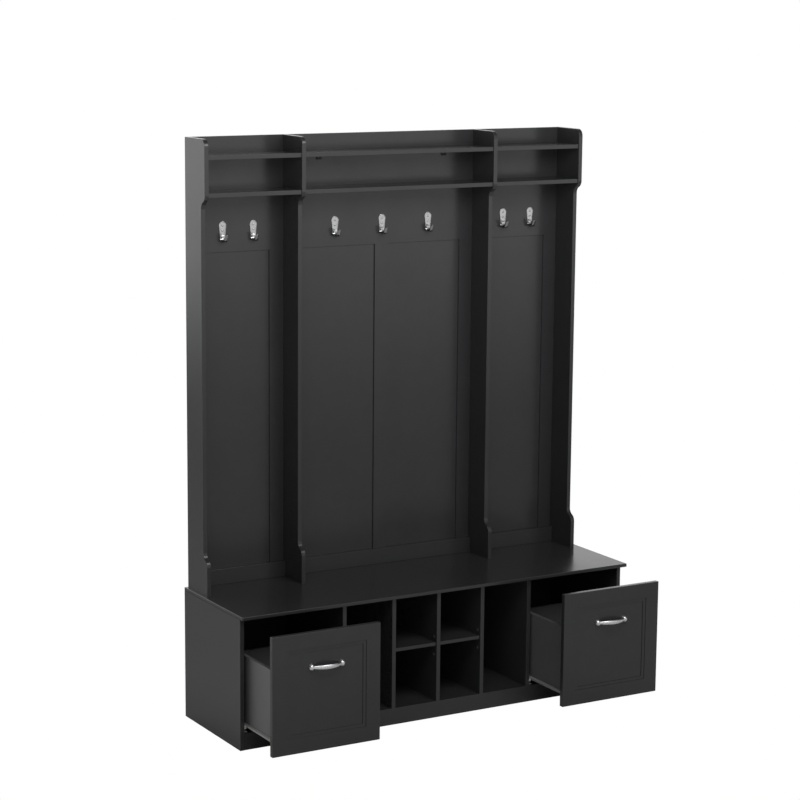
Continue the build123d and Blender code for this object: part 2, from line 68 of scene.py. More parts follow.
SIDES = ("left", "right")
BAYS = ("left", "center", "right")


# ---------------------------------------------------------------- sizes and colours a user may change
class HallTreePaint(bpy.types.PropertyGroup):
    board_color: FloatVectorProperty(
        name="Board Paint", description="Charcoal paint on the boards", subtype="COLOR",
        size=3, min=0, max=1, default=(0.034, 0.034, 0.036))
    box_color: FloatVectorProperty(
        name="Drawer Box Film", description="Plain film on the drawer boxes", subtype="COLOR",
        size=3, min=0, max=1, default=(0.125, 0.125, 0.13))
    gloss_roughness: FloatProperty(
        name="Paint Roughness", description="Mean roughness of the satin paint", subtype="FACTOR",
        min=0.05, max=1, default=0.24)
    peel_height: FloatProperty(
        name="Orange Peel", description="Height of the sprayed paint's ripples", subtype="DISTANCE",
        unit="LENGTH", min=0, max=0.001, default=0.00006)


class HallTreeJoinery(bpy.types.PropertyGroup):
    frame_width: FloatProperty(
        name="Frame Width", description="Width of the stiles and rails around each sunk field",
        subtype="DISTANCE", unit="LENGTH", min=0.02, max=0.12, default=0.052)
    field_depth: FloatProperty(
        name="Field Depth", description="How far each field is sunk", subtype="DISTANCE", unit="LENGTH",
        min=0.001, max=0.008, default=0.005)
    edge_radius: FloatProperty(
        name="Edge Rounding", description="Rounding of the fronts' outer edges", subtype="DISTANCE",
        unit="LENGTH", min=0.0002, max=0.003, default=0.001)
    field_top: FloatProperty(
        name="Field Top", description="Height of the back panels' sunk fields above the floor",
        subtype="DISTANCE", unit="LENGTH", min=1.0, max=1.75, default=1.61)


class HallTreeHardware(bpy.types.PropertyGroup):
    chrome_color: FloatVectorProperty(
        name="Chrome", description="Tint of the plated pulls", subtype="COLOR",
        size=3, min=0, max=1, default=(0.93, 0.93, 0.94))
    nickel_color: FloatVectorProperty(
        name="Satin Nickel", description="Tint of the coat hooks", subtype="COLOR",
        size=3, min=0, max=1, default=(0.45, 0.45, 0.455))
    steel_color: FloatVectorProperty(
        name="Zinc Steel", description="Tint of screws, pins, sleeves and cams", subtype="COLOR",
        size=3, min=0, max=1, default=(0.75, 0.75, 0.76))
    runner_color: FloatVectorProperty(
        name="Runner Enamel", description="Enamel on the drawer runners", subtype="COLOR",
        size=3, min=0, max=1, default=(0.38, 0.38, 0.37))


class HallTreeStage(bpy.types.PropertyGroup):
    camera_place: FloatVectorProperty(
        name="Camera Place", description="Where the camera stands", subtype="TRANSLATION",
        unit="LENGTH", size=3, default=(-4.007, -7.045, 2.492))
    look_turn: FloatProperty(
        name="Turn", description="Camera's turn to the right of the wall's normal", subtype="ANGLE",
        unit="ROTATION", default=math.radians(30.165))
    look_down: FloatProperty(
        name="Look Down", description="Camera's tilt below the horizon", subtype="ANGLE",
        unit="ROTATION", default=math.radians(10.08))
    roll: FloatProperty(
        name="Roll", description="Camera's roll", subtype="ANGLE", unit="ROTATION",
        default=math.radians(0.484))
    lens: FloatProperty(
        name="Lens", description="Focal length on a 36 mm sensor", unit="CAMERA", min=20, max=300,
        default=104.27)
    backdrop_glow: FloatProperty(
        name="Backdrop Glow", description="Brightness of the studio behind the hall tree", min=0, max=4,
        default=1.7)
    room_glow: FloatProperty(
        name="Room Glow", description="Brightness of the studio behind the camera", min=0, max=4,
        default=0.75)
    key_glow: FloatProperty(
        name="Key Light", description="Brightness of the soft light above on the left", min=0, max=20,
        default=2.6)
    side_glow: FloatProperty(
        name="Side Light", description="Brightness of the low soft light on the left", min=0, max=20,
        default=2.0)
    top_glow: FloatProperty(
        name="Top Light", description="Brightness of the soft light above the middle", min=0, max=20,
        default=4.8)
    sweep_glow: FloatProperty(
        name="Sweep Glow", description="Brightness of the floor far from the hall tree", min=0, max=4,
        default=1.1)


# ---------------------------------------------------------------- modelling helpers
def drop_selection():
    """Leave edit mode and deselect every object."""
    if bpy.context.mode != "OBJECT":
        bpy.ops.object.mode_set(mode="OBJECT")
    bpy.ops.object.select_all(action="DESELECT")


def take(piece):
    """Make one object the only selected and active one."""
    drop_selection()
    piece.select_set(True)
    bpy.context.view_layer.objects.active = piece


def open_primitive(name):
    """Name the primitive just added, apply its place and open it in edit mode."""
    piece = bpy.context.object
    piece.name = piece.data.name = name
    bpy.ops.object.transform_apply(location=True, rotation=True, scale=True)
    bpy.ops.object.mode_set(mode="EDIT")
    return piece


def open_block(name, low, high):
    """A block between two corners, open in edit mode."""
    drop_selection()
    low, high = Vector(low), Vector(high)
    bpy.ops.mesh.primitive_cube_add(size=1, location=(low + high) / 2)
    bpy.context.object.scale = high - low
    return open_primitive(name)


def pick(kind, test):
    """In edit mode, select just the faces, edges or vertices that pass the test."""
    bpy.ops.mesh.select_all(action="DESELECT")
    bpy.ops.mesh.select_mode(type=kind)
    data = bpy.context.edit_object.data
    mesh = bmesh.from_edit_mesh(data)
    items = {"FACE": mesh.faces, "EDGE": mesh.edges, "VERT": mesh.verts}[kind]
    found = [item for item in items if test(item)]
    if not found:
        raise RuntimeError(f"nothing to select on {bpy.context.edit_object.name}")
    for item in found:
        item.select_set(True)
    mesh.select_flush_mode()
    bmesh.update_edit_mesh(data)


def middle(item):
    """Middle of a face or an edge."""
    if isinstance(item, bmesh.types.BMFace):
        return item.calc_center_median()
    return (item.verts[0].co + item.verts[1].co) / 2


def facing(direction, slack=0.02):
    """A test for faces whose normal has this direction."""
    direction = Vector(direction)
    return lambda face: (face.normal - direction).length < slack


def push(shift):
    """Extrude the selection by a vector."""
    bpy.ops.mesh.extrude_region_move(TRANSFORM_OT_translate={"value": tuple(shift)})


def stretch(scale, center):
    bpy.ops.transform.resize(value=tuple(scale), center_override=tuple(center))


def outward():
    """Merge doubles and point every face outwards."""
    bpy.ops.mesh.select_all(action="SELECT")
    bpy.ops.mesh.remove_doubles(threshold=1e-6)
    bpy.ops.mesh.normals_make_consistent(inside=False)
    bpy.ops.mesh.select_all(action="DESELECT")


def finish_modifiers(piece):
    take(piece)
    for modifier in list(piece.modifiers):
        bpy.ops.object.modifier_apply(modifier=modifier.name)


def bevelled(piece, width, segments=2, angle=40):
    """Round the sharp edges with a bevel that is applied."""
    take(piece)
    bevel = piece.modifiers.new("Round", "BEVEL")
    bevel.width, bevel.segments = width, segments
    bevel.limit_method, bevel.angle_limit = "ANGLE", math.radians(angle)
    bevel.harden_normals = False
    finish_modifiers(piece)


def cut(piece, cutter):
    """Take the cutter's shape out of a piece."""
    take(piece)
    boolean = piece.modifiers.new("Cut", "BOOLEAN")
    boolean.operation, boolean.solver, boolean.object = "DIFFERENCE", "EXACT", cutter
    finish_modifiers(piece)
    bpy.data.objects.remove(cutter)


def twin(piece, name, shift=(0, 0, 0), mirror_about=None):
    """A copy with its own mesh, moved, or mirrored about a plane of constant X."""
    drop_selection()
    copy = piece.copy()
    copy.data = piece.data.copy()
    copy.name = copy.data.name = name
    bpy.context.scene.collection.objects.link(copy)
    copy.location = Vector(shift)
    if mirror_about is not None:
        copy.scale.x = -1
        copy.location.x += 2 * mirror_about
    take(copy)
    bpy.ops.object.transform_apply(location=True, rotation=True, scale=True)
    if mirror_about is not None:
        bpy.ops.object.mode_set(mode="EDIT")
        outward()
        bpy.ops.object.mode_set(mode="OBJECT")
    return copy


def settle(piece, body, material, replaces=(), smooth_below=35):
    """Shade and finish a piece, and let it ride on its body."""
    take(piece)
    bpy.ops.object.shade_smooth_by_angle(angle=math.radians(smooth_below))
    piece.data.materials.clear()
    piece.data.materials.append(material)
    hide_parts(*replaces)
    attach(piece, body)
    return piece


AXES = {"X": (Vector((1, 0, 0)), (0, math.pi / 2, 0)), "Y": (Vector((0, 1, 0)), (-math.pi / 2, 0, 0)),
        "Z": (Vector((0, 0, 1)), (0, 0, 0))}


def turned(name, origin, axis, profile, segments=24, ring=False):
    """A lathe-turned piece. The profile is (distance along the axis, radius) pairs, in metres.
    A ring's profile closes on itself; any other gets flat ends."""
    drop_selection()
    along, turn = AXES[axis]
    origin = Vector(origin)
    keep = Vector(1 if abs(c) > 0.5 else 0 for c in along)
    start, radius = profile[0]
    bpy.ops.mesh.primitive_circle_add(vertices=segments, radius=radius, rotation=turn,
                                      location=origin + along * start)
    piece = open_primitive(name)
    bpy.ops.mesh.select_mode(type="EDGE")
    bpy.ops.mesh.select_all(action="SELECT")
    if not ring:
        bpy.ops.mesh.edge_face_add()
    for place, wide in list(profile[1:]) + ([profile[0]] if ring else []):
        push(along * (place - start))
        if abs(wide - radius) > 1e-9:
            scale = wide / radius
            stretch(keep + (Vector((1, 1, 1)) - keep) * scale, origin + along * place)
        start, radius = place, wide
    outward()
    bpy.ops.object.mode_set(mode="OBJECT")
    return piece


# ---------------------------------------------------------------- shader groups
def new_node(tree, kind, **settings):
    node = tree.nodes.new(kind)
    for key, value in settings.items():
        setattr(node, key, value)
    return node


def noise(tree, coordinates, scale, detail=3.0, roughness=0.5):
    """The grey value of a noise texture."""
    node = new_node(tree, "ShaderNodeTexNoise")
    node.inputs["Scale"].default_value = scale
    node.inputs["Detail"].default_value = detail
    node.inputs["Roughness"].default_value = roughness
    tree.links.new(coordinates, node.inputs["Vector"])
    return node.outputs["Fac"]


def math_node(tree, operation, first, second):
    """Output of a math node whose inputs are sockets or numbers."""
    node = new_node(tree, "ShaderNodeMath", operation=operation)
    for socket, value in zip(node.inputs, (first, second)):
        if isinstance(value, bpy.types.NodeSocket):
            tree.links.new(value, socket)
        else:
            socket.default_value = value
    return node.outputs[0]


def spread(tree, value, low, high):
    """Map a noise value's usual range, 0.3 to 0.7, onto low to high."""
    node = new_node(tree, "ShaderNodeMapRange", clamp=True)
    node.inputs["From Min"].default_value, node.inputs["From Max"].default_value = 0.3, 0.7
    tree.links.new(value, node.inputs["Value"])
    for socket, limit in (("To Min", low), ("To Max", high)):
        if isinstance(limit, bpy.types.NodeSocket):
            tree.links.new(limit, node.inputs[socket])
        else:
            node.inputs[socket].default_value = limit
    return node.outputs["Result"]


def new_group(name, inputs, outputs):
    """A shader group with named inputs (name, kind, default) and outputs (name, kind)."""
    group = bpy.data.node_groups.new(name, "ShaderNodeTree")
    for label, kind, default in inputs:
        socket = group.interface.new_socket(label, in_out="INPUT", socket_type=f"NodeSocket{kind}")
        socket.default_value = default
    for label, kind in outputs:
        group.interface.new_socket(label, in_out="OUTPUT", socket_type=f"NodeSocket{kind}")
    return group, new_node(group, "NodeGroupInput").outputs, new_node(group, "NodeGroupOutput").inputs


def coordinates_of(tree, scale=(1, 1, 1)):
    place = new_node(tree, "ShaderNodeTexCoord")
    mapping = new_node(tree, "ShaderNodeMapping")
    mapping.inputs["Scale"].default_value = scale
    tree.links.new(place.outputs["Object"], mapping.inputs["Vector"])
    return mapping.outputs["Vector"]


def build_skin_group():
    """Sprayed or rolled paint: slow colour drift, patchy gloss, faint dust and orange peel."""
    group, given, out = new_group(
        "Painted Skin",
        [("Color", "Color", (0.5, 0.5, 0.5, 1)), ("Color Drift", "Float", 0.1), ("Roughness", "Float", 0.4),
         ("Gloss Drift", "Float", 0.05), ("Dust", "Float", 0.02)],
        [("Color", "Color"), ("Roughness", "Float"), ("Height", "Float")])
    place = coordinates_of(group)
    slow, medium = noise(group, place, 1.7), noise(group, place, 23, 4)
    peel = noise(group, place, 420, 2)
    patchy = math_node(group, "ADD", math_node(group, "MULTIPLY", slow, 0.6),
                       math_node(group, "MULTIPLY", medium, 0.4))
    low = math_node(group, "SUBTRACT", 1.0, given["Color Drift"])
    high = math_node(group, "ADD", 1.0, given["Color Drift"])
    shade = spread(group, patchy, low, high)
    scaled = new_node(group, "ShaderNodeVectorMath", operation="SCALE")
    group.links.new(given["Color"], scaled.inputs[0])
    group.links.new(shade, scaled.inputs["Scale"])
    specks = noise(group, place, 900, 1, 0.3)
    dust = math_node(group, "MULTIPLY", spread(group, specks, -0.6, 1.0), given["Dust"])
    dusty = new_node(group, "ShaderNodeVectorMath", operation="ADD")
    group.links.new(scaled.outputs[0], dusty.inputs[0])
    group.links.new(math_node(group, "MAXIMUM", dust, 0.0), dusty.inputs[1])
    rough_low = math_node(group, "SUBTRACT", given["Roughness"], given["Gloss Drift"])
    rough_high = math_node(group, "ADD", given["Roughness"], given["Gloss Drift"])
    group.links.new(dusty.outputs[0], out["Color"])
    group.links.new(spread(group, noise(group, place, 6, 5), rough_low, rough_high), out["Roughness"])
    group.links.new(peel, out["Height"])
    return group


def build_grain_group():
    """A long fine grain along one axis of the board film, as a height and a mask."""
    group, given, out = new_group(
        "Film Grain", [("Lengthwise", "Vector", (1.0, 1.0, 0.03)), ("Fineness", "Float", 260.0)],
        [("Height", "Float"), ("Mask", "Float")])
    place = new_node(group, "ShaderNodeTexCoord")
    along = new_node(group, "ShaderNodeVectorMath", operation="MULTIPLY")
    group.links.new(place.outputs["Object"], along.inputs[0])
    group.links.new(given["Lengthwise"], along.inputs[1])
    grain = new_node(group, "ShaderNodeTexNoise")
    grain.inputs["Detail"].default_value = 2.5
    group.links.new(along.outputs[0], grain.inputs["Vector"])
    group.links.new(given["Fineness"], grain.inputs["Scale"])
    group.links.new(grain.outputs["Fac"], out["Height"])
    group.links.new(spread(group, grain.outputs["Fac"], 0.0, 1.0), out["Mask"])
    return group


def build_metal_group():
    """Plated or bare metal: faint hairlines, cloudy gloss and a few dull spots."""
    group, given, out = new_group(
        "Worn Metal",
        [("Color", "Color", (0.8, 0.8, 0.8, 1)), ("Roughness", "Float", 0.15), ("Cloud", "Float", 0.05),
         ("Tarnish", "Float", 0.1)],
        [("Color", "Color"), ("Roughness", "Float"), ("Height", "Float")])
    place = coordinates_of(group)
    clouds = noise(group, place, 160, 4)
    hairlines = noise(group, coordinates_of(group, (1, 1, 12)), 240, 3)
    spots = noise(group, place, 420, 2)
    dark = new_node(group, "ShaderNodeVectorMath", operation="SCALE")
    group.links.new(given["Color"], dark.inputs[0])
    low = math_node(group, "SUBTRACT", 1.0, given["Tarnish"])
    group.links.new(spread(group, spots, low, 1.0), dark.inputs["Scale"])
    cloudy = math_node(group, "ADD", given["Roughness"], given["Cloud"])
    group.links.new(dark.outputs[0], out["Color"])
    group.links.new(spread(group, clouds, given["Roughness"], cloudy), out["Roughness"])
    group.links.new(hairlines, out["Height"])
    return group


GROUP_BUILDERS = {"Painted Skin": build_skin_group, "Film Grain": build_grain_group,
                  "Worn Metal": build_metal_group}


def placed_group(tree, name, **values):
    """Place a shared group in a material, with its own values."""
    node = new_node(tree, "ShaderNodeGroup")
    node.node_tree = bpy.data.node_groups.get(name) or GROUP_BUILDERS[name]()
    for key, value in values.items():
        node.inputs[key.replace("_", " ")].default_value = value
    return node


def new_material(name, metallic=0.0, ior=1.5, specular=0.5):
    """A material with a principled shader, ready for its groups."""
    material = bpy.data.materials.new(name)
    material.use_nodes = True
    tree = material.node_tree
    shader = tree.nodes["Principled BSDF"]
    shader.inputs["Metallic"].default_value = metallic
    shader.inputs["IOR"].default_value = ior
    shader.inputs["Specular IOR Level"].default_value = specular
    return material, tree, shader


def bump_into(tree, shader, height, distance, strength=1.0):
    bump = new_node(tree, "ShaderNodeBump")
    bump.inputs["Distance"].default_value = distance
    bump.inputs["Strength"].default_value = strength
    tree.links.new(height, bump.inputs["Height"])
    tree.links.new(bump.outputs["Normal"], shader.inputs["Normal"])


def rgba(color):
    return (*color, 1.0)


def painted(name, color, roughness, drift=0.08, gloss=0.03, dust=0.0015, peel=None, grain=None, ior=1.5):
    """Satin paint or film. grain is the scale of its pattern along each axis, or None for none."""
    found = bpy.data.materials.get(name)
    if found:
        return found
    material, tree, shader = new_material(name, ior=ior)
    skin = placed_group(tree, "Painted Skin", Color=rgba(color), Color_Drift=drift, Roughness=roughness,
                        Gloss_Drift=gloss, Dust=dust)
    tree.links.new(skin.outputs["Color"], shader.inputs["Base Color"])
    tree.links.new(skin.outputs["Roughness"], shader.inputs["Roughness"])
    height = skin.outputs["Height"]
    if grain:
        film = placed_group(tree, "Film Grain", Lengthwise=grain)
        height = math_node(tree, "ADD", math_node(tree, "MULTIPLY", height, 0.4),
                           math_node(tree, "MULTIPLY", film.outputs["Height"], 0.6))
    peel_height = bpy.context.scene.hall_tree_paint.peel_height if peel is None else peel
    bump_into(tree, shader, height, peel_height, 0.35)
    return material


def metal(name, color, roughness, cloud=0.05, tarnish=0.1, height=0.00001):
    found = bpy.data.materials.get(name)
    if found:
        return found
    material, tree, shader = new_material(name, metallic=1.0)
    worn = placed_group(tree, "Worn Metal", Color=rgba(color), Roughness=roughness, Cloud=cloud,
                        Tarnish=tarnish)
    tree.links.new(worn.outputs["Color"], shader.inputs["Base Color"])
    tree.links.new(worn.outputs["Roughness"], shader.inputs["Roughness"])
    bump_into(tree, shader, worn.outputs["Height"], height, 0.3)
    return material


UPRIGHT_GRAIN, LEVEL_GRAIN, DEPTH_GRAIN = (1.0, 1.0, 0.03), (0.03, 1.0, 1.0), (1.0, 0.03, 1.0)


def board_material(direction):
    """Charcoal satin on a board whose film runs in one of three directions."""
    paint = bpy.context.scene.hall_tree_paint
    grain = {"upright": UPRIGHT_GRAIN, "level": LEVEL_GRAIN, "depth": DEPTH_GRAIN}[direction]
    return painted(f"Charcoal Satin {direction.title()}", paint.board_color, paint.gloss_roughness,
                   grain=grain)


def front_material():
    paint = bpy.context.scene.hall_tree_paint
    return painted("Charcoal Sprayed Front", paint.board_color, paint.gloss_roughness)


def box_material():
    paint = bpy.context.scene.hall_tree_paint
    return painted("Drawer Box Film", paint.box_color, 0.36, grain=DEPTH_GRAIN)


def hardboard_material():
    return painted("Hardboard Back", (0.02, 0.02, 0.021), 0.6, drift=0.25, gloss=0.08, dust=0.01, peel=0.0002)


def chrome_material():
    return metal("Plated Chrome", bpy.context.scene.hall_tree_hardware.chrome_color, 0.26, 0.06, 0.04)


def nickel_material():
    return metal("Satin Nickel", bpy.context.scene.hall_tree_hardware.nickel_color, 0.14, 0.08, 0.1)


def steel_material():
    return metal("Zinc Steel", bpy.context.scene.hall_tree_hardware.steel_color, 0.28, 0.15, 0.25, 0.00002)


def enamel_material():
    color = bpy.context.scene.hall_tree_hardware.runner_color
    return painted("Runner Enamel", color, 0.35, drift=0.06, dust=0.0, peel=0.00002)


def nylon_material():
    return painted("White Nylon", (0.7, 0.7, 0.68), 0.42, drift=0.05, dust=0.0, peel=0.00003, ior=1.53)


def bracket_material():
    return painted("Charcoal Powder Coat", (0.018, 0.018, 0.019), 0.55, drift=0.1, peel=0.00012)


def dress(material, *names):
    """Give CAD nodes a procedural material."""
    for name in names:
        for slot in NODES[name].material_slots:
            slot.material = material


# ---------------------------------------------------------------- panelled boards
FLAT_BELOW = 8
# Steps from a frame down to its field: width and share of the depth.
MOULDED_STEPS = ((0.0006, 0.45), (0.0105, 0.05), (0.0006, 0.5))
PLAIN_STEPS = ((0.0005, 0.5), (0.0005, 0.5))


def sink_fields(depth, steps):
    """In edit mode with the fields' faces selected, sink them in steps."""
    for width, share in steps:
        bpy.ops.mesh.inset(thickness=width, depth=-share * depth, use_even_offset=True)


def round_rim(width):
    """Round the block's outer edges in edit mode: those between faces at right angles."""
    pick("EDGE", lambda e: e.is_manifold and abs(e.calc_face_angle(0) - math.pi / 2) < 0.02)
    bpy.ops.mesh.bevel(offset=width, segments=6, profile=0.5, affect="EDGES", clamp_overlap=True)


def drawer_front(side):
    joinery = bpy.context.scene.hall_tree_joinery
    node = f"drawer_{side}_front"
    low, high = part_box(node)
    piece = open_block(f"front_{side}", low, high)
    round_rim(joinery.edge_radius)
    pick("FACE", lambda f: facing((0, -1, 0))(f) and f.calc_area() > 0.1)
    bpy.ops.mesh.inset(thickness=joinery.frame_width - joinery.edge_radius, depth=0)
    sink_fields(joinery.field_depth, MOULDED_STEPS)
    bpy.ops.object.mode_set(mode="OBJECT")
    return settle(piece, f"drawer_{side}", front_material(), (node,), FLAT_BELOW)


def back_panel(bay):
    joinery = bpy.context.scene.hall_tree_joinery
    node = f"back_panel_{bay}"
    low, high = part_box(node)
    rail_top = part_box(f"lower_rail_{bay}")[1].z
    piece = open_block(f"panel_{bay}", low, high)
    stile = joinery.frame_width
    xs = [low.x + stile, high.x - stile]
    if bay == "center":
        xs += [-stile / 2, stile / 2]
    cuts = [((x, 0, 0), (1, 0, 0)) for x in xs]
    cuts += [((0, 0, z), (0, 0, 1)) for z in (rail_top, joinery.field_top)]
    for place, normal in cuts:
        bpy.ops.mesh.select_all(action="SELECT")
        bpy.ops.mesh.bisect(plane_co=place, plane_no=normal)
    xs.sort()

    def in_field(face):
        center = middle(face)
        inside = any(a < center.x < b for a, b in zip(xs[::2], xs[1::2]))
        return facing((0, -1, 0))(face) and inside and rail_top < center.z < joinery.field_top

    pick("FACE", in_field)
    sink_fields(joinery.field_depth, PLAIN_STEPS)
    bpy.ops.object.mode_set(mode="OBJECT")
    return settle(piece, "frame", board_material("upright"), (node,), FLAT_BELOW)


# ---------------------------------------------------------------- coat hooks
HOOK_HEIGHT, HOOK_WIDTH, HOOK_NECK, HOOK_TIP = 0.070, 0.027, 0.019, 0.0103
HOOK_STEEL, HOOK_BEND, HOOK_LEAN, HOOK_PRONG = 0.0025, 0.0119, math.radians(25), 0.0195


def hook_strip(name, x, back_y, top):
    """One bent hook with its plate against the panel, modelled as a strip and then thickened."""
    drop_selection()
    bend = HOOK_BEND + HOOK_STEEL / 2
    mid_y = back_y - HOOK_STEEL / 2 - 0.0001
    center = Vector((x, mid_y - bend, top - HOOK_HEIGHT + bend + HOOK_STEEL / 2))
    step = 0.004
    bpy.ops.mesh.primitive_plane_add(size=1, rotation=(math.pi / 2, 0, 0),
                                     location=(x, mid_y, center.z + step / 2))
    bpy.context.object.scale = (HOOK_NECK, step, 1)
    piece = open_primitive(name)
    half = HOOK_NECK / 2

    def end_at(place):
        return lambda e: (middle(e) - place).length < 1e-5

    def widen_along(start, direction, outline):
        """Extrude the selected end along a direction through (distance, half width) pairs."""
        done, now = 0, half
        for distance, wide in outline:
            push(direction * (distance - done))
            stretch((wide / now, 1, 1), start + direction * distance)
            done, now = distance, wide

    neck_top = Vector((x, mid_y, center.z + step))
    crown = HOOK_WIDTH / 2
    shoulder = top - crown - neck_top.z
    plate = [(shoulder * k / 4, half + (crown - half) * k / 4) for k in (1, 2, 3, 4)]
    plate += [(shoulder + crown * math.sin(math.radians(a)), crown * math.cos(math.radians(a)))
              for a in (15, 30, 44, 56, 67, 77, 85)]
    pick("EDGE", end_at(neck_top))
    widen_along(neck_top, Vector((0, 0, 1)), plate)

    pick("EDGE", end_at(Vector((x, mid_y, center.z))))
    sweep, steps = math.pi - HOOK_LEAN, 16
    bpy.ops.mesh.spin(steps=steps, angle=sweep, center=center, axis=(1, 0, 0), use_normal_flip=False)
    bpy.ops.mesh.select_all(action="SELECT")
    bpy.ops.mesh.remove_doubles(threshold=1e-6)
    tip = HOOK_TIP / 2
    for k in range(steps // 2 + 1, steps + 1):
        angle = sweep * k / steps
        spot = center + bend * Vector((0, math.cos(angle), -math.sin(angle)))
        pick("EDGE", end_at(spot))
        wide = half + (tip + 0.0004 - half) * (2 * k / steps - 1)
        stretch((wide / half, 1, 1), spot)
    foot = center + bend * Vector((0, -math.cos(HOOK_LEAN), -math.sin(HOOK_LEAN)))
    rise = Vector((0, -math.sin(HOOK_LEAN), math.cos(HOOK_LEAN)))
    straight = HOOK_PRONG - tip
    half = tip + 0.0004
    prong = [(straight, tip)]
    prong += [(straight + tip * math.sin(math.radians(a)), tip * math.cos(math.radians(a)))
              for a in (25, 48, 66, 80)]
    pick("EDGE", end_at(foot))
    widen_along(foot, rise, prong)
    outward()
    bpy.ops.object.mode_set(mode="OBJECT")
    solid = piece.modifiers.new("Steel", "SOLIDIFY")
    solid.thickness, solid.offset, solid.use_even_offset = HOOK_STEEL, 0, True
    finish_modifiers(piece)
    take(piece)
    bpy.ops.object.mode_set(mode="EDIT")
    outward()
    pick("FACE", lambda f: facing((0, -1, 0), 0.05)(f) and middle(f).y > mid_y - 0.003
         and middle(f).z > neck_top.z)
    bpy.ops.mesh.inset(thickness=0.0024, depth=0, use_boundary=True)
    bpy.ops.mesh.inset(thickness=0.0007, depth=-0.0006)
    bpy.ops.object.mode_set(mode="OBJECT")
    bevelled(piece, 0.0006, 2, 45)
    return piece


def cross_recess(place, axis, size, depth):
    """A cross-shaped cutter centred on a screw head's face."""
    place = Vector(place)
    along = AXES[axis][0]
    wide = [v for v in (Vector((1, 0, 0)), Vector((0, 1, 0)), Vector((0, 0, 1))) if abs(v.dot(along)) < 0.5]
    bars = []
    for long, short in ((wide[0], wide[1]), (wide[1], wide[0])):
        reach = long * size / 2 + short * size / 8 + along * depth
        reach = Vector(abs(c) for c in reach)
        bars.append(open_block("recess", place - reach, place + reach))
        bpy.ops.object.mode_set(mode="OBJECT")
    take(bars[0])
    union = bars[0].modifiers.new("Cross", "BOOLEAN")
    union.operation, union.solver, union.object = "UNION", "EXACT", bars[1]
    finish_modifiers(bars[0])
    bpy.data.objects.remove(bars[1])
    return bars[0]


def pan_screw(name, place, axis, sign, radius, head, length):
    """A pan-head screw. place is under the head; the shank goes along sign times the axis."""
    head_radius = 2.05 * radius
    profile = [(-head * sign, head_radius * 0.45), (-head * 0.93 * sign, head_radius * 0.7),
               (-head * 0.7 * sign, head_radius * 0.9), (-head * 0.35 * sign, head_radius),
               (0, head_radius), (0, radius), (length * 0.8 * sign, radius), (length * sign, radius * 0.25)]
    screw = turned(name, place, axis, profile)
    top = Vector(place) - AXES[axis][0] * head * sign
    cut(screw, cross_recess(top, axis, head_radius * 1.1, head * 0.55))
    return screw


HOOK_SCREW_DROPS = (0.014, 0.031)
WOOD_SCREW_RADIUS, WOOD_SCREW_HEAD, WOOD_SCREW_LENGTH = 0.00174, 0.0018, 0.0119
BRACKET_STEEL, BRACKET_WIDTH, BRACKET_SCREW_Y = 0.002, 0.02, -0.025


def hook_places():
    """(bay, x) of each coat hook, from the boxes of their CAD nodes."""
    places = []
    for bay in BAYS:
        low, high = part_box(f"coat_hooks_{bay}")
        count = 3 if bay == "center" else 2
        pitch = (high.x - low.x - HOOK_WIDTH) / (count - 1)
        places += [(bay, low.x + HOOK_WIDTH / 2 + pitch * k) for k in range(count)]
    return places


def wood_screws():
    """The hooks' and wall brackets' screws."""
    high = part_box("coat_hooks_left")[1]
    spots = [(x, high.y - HOOK_STEEL, high.z - drop) for _, x in hook_places() for drop in HOOK_SCREW_DROPS]
    shape = (WOOD_SCREW_RADIUS, WOOD_SCREW_HEAD, WOOD_SCREW_LENGTH)
    screws = [pan_screw("wood_screw_1", spots[0], "Y", 1, *shape)]
    first = Vector(spots[0])
    for number, spot in enumerate(spots[1:], start=2):
        screws.append(twin(screws[0], f"wood_screw_{number}", Vector(spot) - first))
    low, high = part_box("wall_brackets")
    half_bracket = BRACKET_WIDTH / 2
    for number, x in enumerate((low.x + half_bracket, high.x - half_bracket), start=1):
        place = (x, BRACKET_SCREW_Y, high.z - BRACKET_STEEL)
        screws.append(pan_screw(f"bracket_screw_{number}", place, "Z", 1, *shape))
    for screw in screws:
        settle(screw, "frame", steel_material(), ("wood_screws",))


# ---------------------------------------------------------------- drawer pulls
PULL_FOOT_RADIUS, PULL_FOOT_DOME = 0.011, 0.0135
PULL_SPAN, PULL_ARCH, PULL_START = 0.112, 0.0245, 0.005
PULL_BAR_HEIGHT, PULL_BAR_DEPTH, PULL_SWELL = 0.0098, 0.007, 0.5
PULL_SCREW_RADIUS, PULL_SCREW_HEAD, PULL_SCREW_INSET = 0.00194, 0.0021, 0.004


